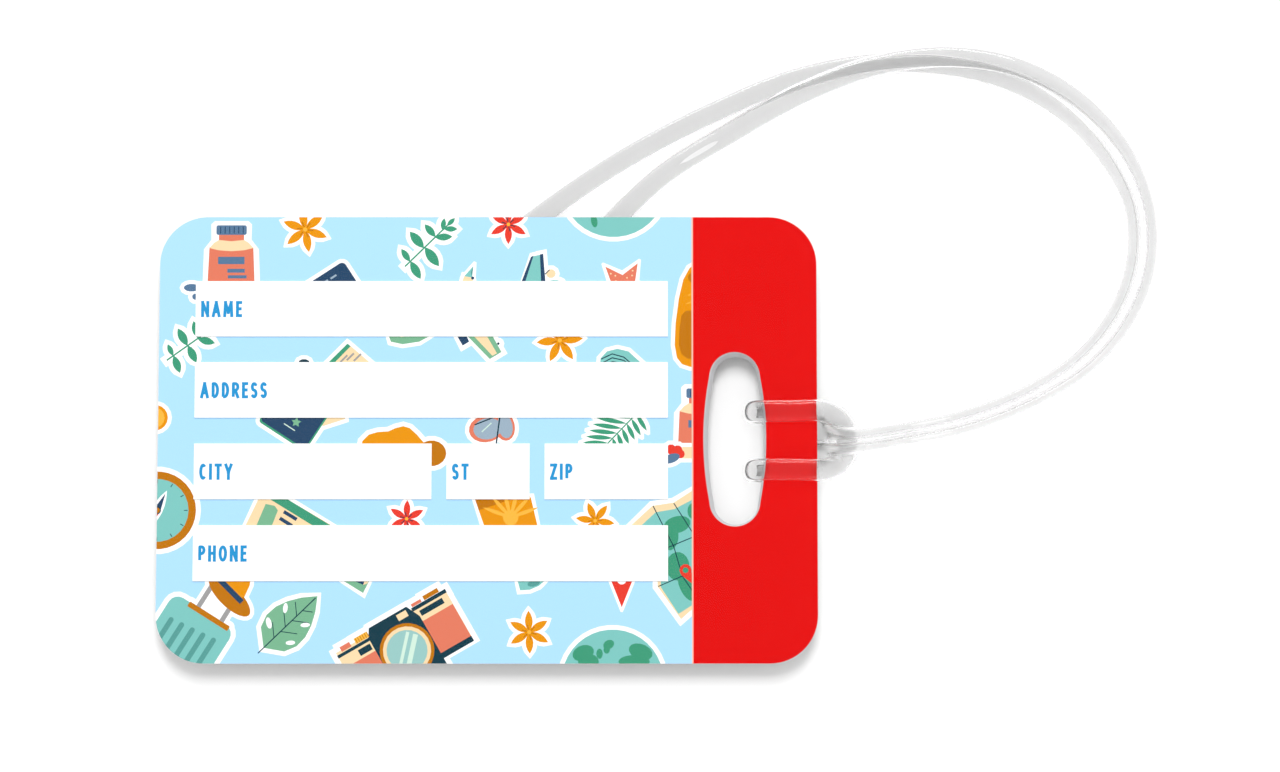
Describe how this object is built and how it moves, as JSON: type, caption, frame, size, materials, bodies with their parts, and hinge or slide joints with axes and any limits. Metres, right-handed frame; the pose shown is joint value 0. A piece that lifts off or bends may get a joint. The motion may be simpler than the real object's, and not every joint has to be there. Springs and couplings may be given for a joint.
{
  "type": "luggage tag",
  "caption": "Flat laminated luggage tag with rounded corners, a long strap slot, write-on address panels and a clear vinyl loop hitched through the slot.",
  "frame": {"origin": "middle of the card, half way through its thickness", "axes": "+X along the card's length towards the slot, +Y up the written page, +Z out of the printed front; the tag lies flat on a table below it"},
  "size_m": [0.1551, 0.0961, 0.0062],
  "materials": {
    "core": "white rigid vinyl board, satin",
    "print": "pale blue printed sheet with travel drawings, under gloss film",
    "header": "plain red printed band, under gloss film",
    "front_film": "clear gloss laminate",
    "back_film": "clear gloss laminate",
    "panel": null,
    "vinyl": "clear flexible vinyl, moulded smooth"
  },
  "bodies": {
    "card": {"core_board": "core", "front_print": "print", "header_band": "header", "front_laminate": "front_film", "back_laminate": "back_film", "name_panel": "panel", "address_panel": "panel", "city_panel": "panel", "state_panel": "panel", "zip_panel": "panel", "phone_panel": "panel"},
    "hitch": {"strap_hitch": "vinyl", "strap_neck_a": "vinyl", "strap_neck_b": "vinyl"},
    "loop": {"strap_strand_a": "vinyl", "strap_end": "vinyl", "strap_strand_b": "vinyl"}
  },
  "joints": [
    {"name": "hitch_slide", "type": "slide", "parent": "card", "child": "hitch", "axis": [0, 1, 0], "range_m": [-0.003, 0.003]},
    {"name": "loop_swing", "type": "hinge", "parent": "hitch", "child": "loop", "pos_m": [0.0575, -0.0003, 0], "axis": [0, 0, 1], "range_deg": [-75, 20], "deforming": ["strap_neck_a", "strap_neck_b"]}
  ]
}
